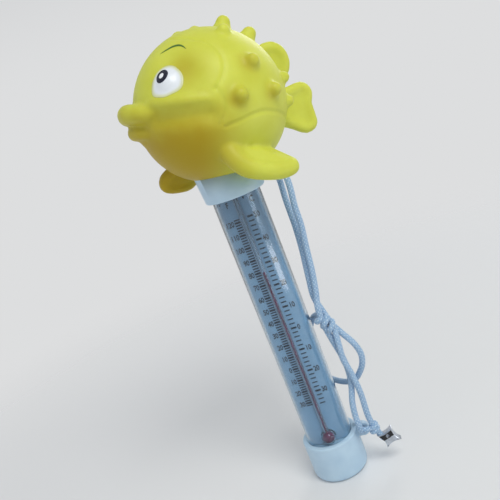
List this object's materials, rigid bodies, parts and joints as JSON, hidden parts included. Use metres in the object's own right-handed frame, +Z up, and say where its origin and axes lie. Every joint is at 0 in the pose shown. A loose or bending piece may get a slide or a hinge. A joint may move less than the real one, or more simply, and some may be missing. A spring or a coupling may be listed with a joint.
{
  "type": "floating pool thermometer",
  "caption": "Floating pool thermometer: hollow fish float on a clear tube with a printed scale card, glass thermometer, weighted foot cap and knotted carrying cord.",
  "frame": {"origin": "centre of the foot cap's flat underside", "axes": "+Z up along the clear tube towards the float, the scale card faces -Y, the cord hangs on the +X side"},
  "size_m": [0.072, 0.0609, 0.1956],
  "materials": {
    "float_vinyl": "soft satin vinyl",
    "eye_white_paint": "satin paint",
    "eye_dark_paint": "satin paint",
    "brow_paint": "satin paint",
    "blue_plastic": "satin moulded",
    "seal_rubber": "matte",
    "clear_plastic": "clear polished",
    "card_plastic": "satin sheet",
    "print_ink": "flat screen print",
    "stem_glass": "clear drawn glass",
    "dyed_liquid": "dyed spirit",
    "clip_steel": "bright wire",
    "foam_pad": "closed-cell foam",
    "ballast_steel": "turned",
    "plug_plastic": "satin moulded",
    "braided_cord": "braided",
    "crimp_metal": "bright pressed",
    "crimp_black": "satin"
  },
  "bodies": {
    "thermometer": {"float_shell": "float_vinyl", "eye_whites": "eye_white_paint", "eye_pupils": "eye_dark_paint", "eye_glints": "eye_white_paint", "eyebrows": "brow_paint", "collar": "blue_plastic", "collar_gasket": "seal_rubber", "clear_tube": "clear_plastic", "scale_card": "card_plastic", "fahrenheit_ticks": "print_ink", "fahrenheit_numerals": "print_ink", "celsius_ticks": "print_ink", "celsius_numerals": "print_ink", "thermometer_glass": "stem_glass", "bulb_liquid": "dyed_liquid", "liquid_column": "dyed_liquid", "stem_clip": "clip_steel", "bulb_cushion": "foam_pad", "ballast_weight": "ballast_steel", "tube_plug": "plug_plastic", "plug_seal": "seal_rubber", "bottom_cap": "blue_plastic", "lanyard": "braided_cord", "bow_loop": "braided_cord", "bow_knot": "braided_cord", "end_knot": "braided_cord", "cord_crimp": "crimp_metal", "crimp_face": "crimp_black"},
    "column_end": {"column_top": "dyed_liquid"}
  },
  "joints": [
    {"name": "column_rise", "type": "slide", "parent": "thermometer", "child": "column_end", "axis": [0, 0, 1], "range_m": [-0.061, 0.023], "deforming": ["liquid_column"]}
  ]
}
